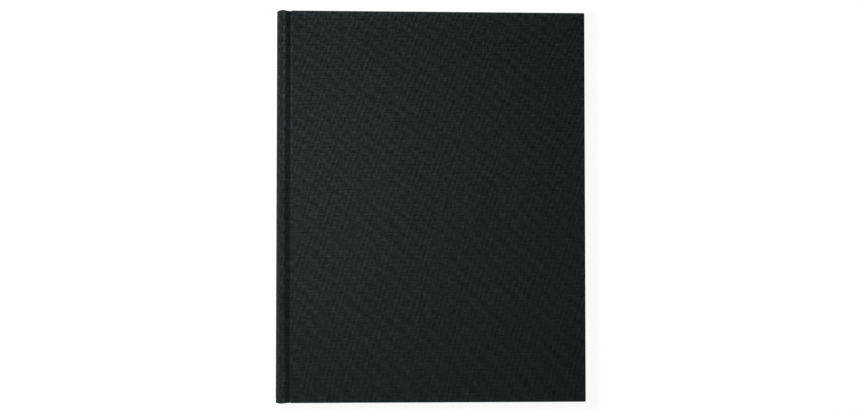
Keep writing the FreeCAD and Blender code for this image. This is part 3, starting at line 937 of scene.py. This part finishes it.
# %% [markdown]
# ## Finishes of the hidden pieces
#
# The boards, the card inlay, the mull under the pastedowns and the paper lining keep the frame's own
# meshes, because their shapes are right and almost nothing of them shows.

# %% Finishes
finishes = {  # by the last word of a frame piece's name
    "board": greyboard_material,
    "inlay": card_material,
    "lining": kraft_material,
    "flange": mull_material,
}
for name, piece in frame["nodes"].items():
    finish = finishes.get(name.split("_")[-1])
    if finish:
        piece.data.materials.clear()
        piece.data.materials.append(finish)
        print(name, "->", finish.name)

# %% [markdown]
# ## Floor, light and camera
#
# The book lies on a plain white floor. To the camera the floor is nearly white of itself and keeps a
# little shadow, and to everything else it is plain white paint. One soft lamp hangs over the spine side,
# a little towards the head, so the light falls off across the cover. A dim even surround fills the shade.


# %% Paint of the floor
def floor_paint():
    """White floor paint: lit paint for the light that it returns, and nearly even white for the eye."""
    made = bpy.data.materials.new("floor_paint_white")
    made.use_nodes = True
    tree = made.node_tree
    tree.nodes.clear()
    ray = node(tree, "ShaderNodeLightPath", {}).outputs
    seen = node(tree, "ShaderNodeMath", {0: ray["Is Camera Ray"], 1: ray["Is Glossy Ray"]}, operation="ADD")
    inputs = {0: seen.outputs[0], 1: ray["Is Transmission Ray"]}
    seen = node(tree, "ShaderNodeMath", inputs, operation="ADD")
    paint = node(tree, "ShaderNodeBsdfDiffuse", {"Color": colour("#E6E6E6")})
    shade = node(tree, "ShaderNodeBsdfDiffuse", {"Color": colour("#959595")})
    glow = node(tree, "ShaderNodeEmission", {"Color": (1, 1, 1, 1), "Strength": 0.88})
    both = node(tree, "ShaderNodeAddShader", {0: shade.outputs[0], 1: glow.outputs[0]})
    inputs = {0: seen.outputs[0], 1: paint.outputs[0], 2: both.outputs[0]}
    mixed = node(tree, "ShaderNodeMixShader", inputs)
    node(tree, "ShaderNodeOutputMaterial", {0: mixed.outputs[0]})
    return made


# %% Floor
floor_half = 6.0  # metres
floor_drop = 0.0001  # metres below the book, so that the two don't touch
corner = np.array([[-1, -1, 0], [1, -1, 0], [1, 1, 0], [-1, 1, 0]]) * floor_half
floor_mesh = bpy.data.meshes.new("floor")
floor_mesh.from_pydata(corner - [0, 0, floor_drop], [], [[0, 1, 2, 3]])
floor_mesh.materials.append(floor_paint())
floor = bpy.data.objects.new("floor", floor_mesh)
bpy.context.scene.collection.objects.link(floor)
print(f"floor: {2 * floor_half:.0f} m each way")


# %% Lamp
def facing(place, target):
    """The matrix of a lamp or camera that stands at a place, looks at a target and keeps +Y upwards."""
    backward = np.array(place) - target
    backward /= np.linalg.norm(backward)
    right = np.cross([0, 1, 0], backward)
    right /= np.linalg.norm(right)
    matrix = np.eye(4)
    matrix[:3] = np.stack([right, np.cross(backward, right), backward, place], -1)
    return Matrix(matrix.tolist())


lamp_place, lamp_target = (-0.16, 0.035, 0.385), (-0.08, 0.015, 0.02)  # metres
lamp_data = bpy.data.lights.new("soft_lamp", "AREA")
lamp_data.shape = "DISK"
lamp_data.size = 0.2  # metres across
lamp_data.energy = 1.44  # watts
lamp = bpy.data.objects.new("soft_lamp", lamp_data)
lamp.matrix_world = facing(lamp_place, lamp_target)
bpy.context.scene.collection.objects.link(lamp)
print(f"lamp: {lamp_data.energy:.2f} W, {lamp_place[2] / MM:.0f} mm above the floor")


# %% Surround
def surround():
    """A dim even surround, brighter in a low band, which lights the edges; to the camera it is white."""
    world = bpy.data.worlds.new("surround")
    world.use_nodes = True
    tree = world.node_tree
    tree.nodes.clear()
    way = node(tree, "ShaderNodeTexCoord", {}).outputs["Generated"]
    rise_of_way = node(tree, "ShaderNodeSeparateXYZ", {0: way}).outputs["Z"]
    inputs = {"Value": rise_of_way, "From Min": 0.0, "From Max": 0.25, "To Min": 3.2, "To Max": 0.17}
    level = node(tree, "ShaderNodeMapRange", inputs)
    dim = node(tree, "ShaderNodeBackground", {"Color": (1, 1, 1, 1), "Strength": level.outputs[0]})
    bright = node(tree, "ShaderNodeBackground", {"Color": (1, 1, 1, 1), "Strength": 1.0})
    ray = node(tree, "ShaderNodeLightPath", {}).outputs
    inputs = {0: ray["Is Camera Ray"], 1: dim.outputs[0], 2: bright.outputs[0]}
    mixed = node(tree, "ShaderNodeMixShader", inputs)
    node(tree, "ShaderNodeOutputWorld", {0: mixed.outputs[0]})
    return world


bpy.context.scene.world = surround()
print("surround:", len(bpy.context.scene.world.node_tree.nodes), "nodes")

# %% Camera
camera_place, camera_target = (-0.0673, -0.0453, 1.2), (-0.00096, 0.00084, total * MM)  # metres
camera_data = bpy.data.cameras.new("camera")
camera_data.lens = 67.6
camera_data.sensor_width = 36.0
camera_data.clip_end = 50
camera = bpy.data.objects.new("camera", camera_data)
camera.matrix_world = facing(camera_place, camera_target)
bpy.context.scene.collection.objects.link(camera)
bpy.context.scene.camera = camera
bpy.context.scene.view_settings.view_transform = "Standard"
print(f"camera: {camera_place[2]} m up, lens {camera_data.lens:.1f} mm")
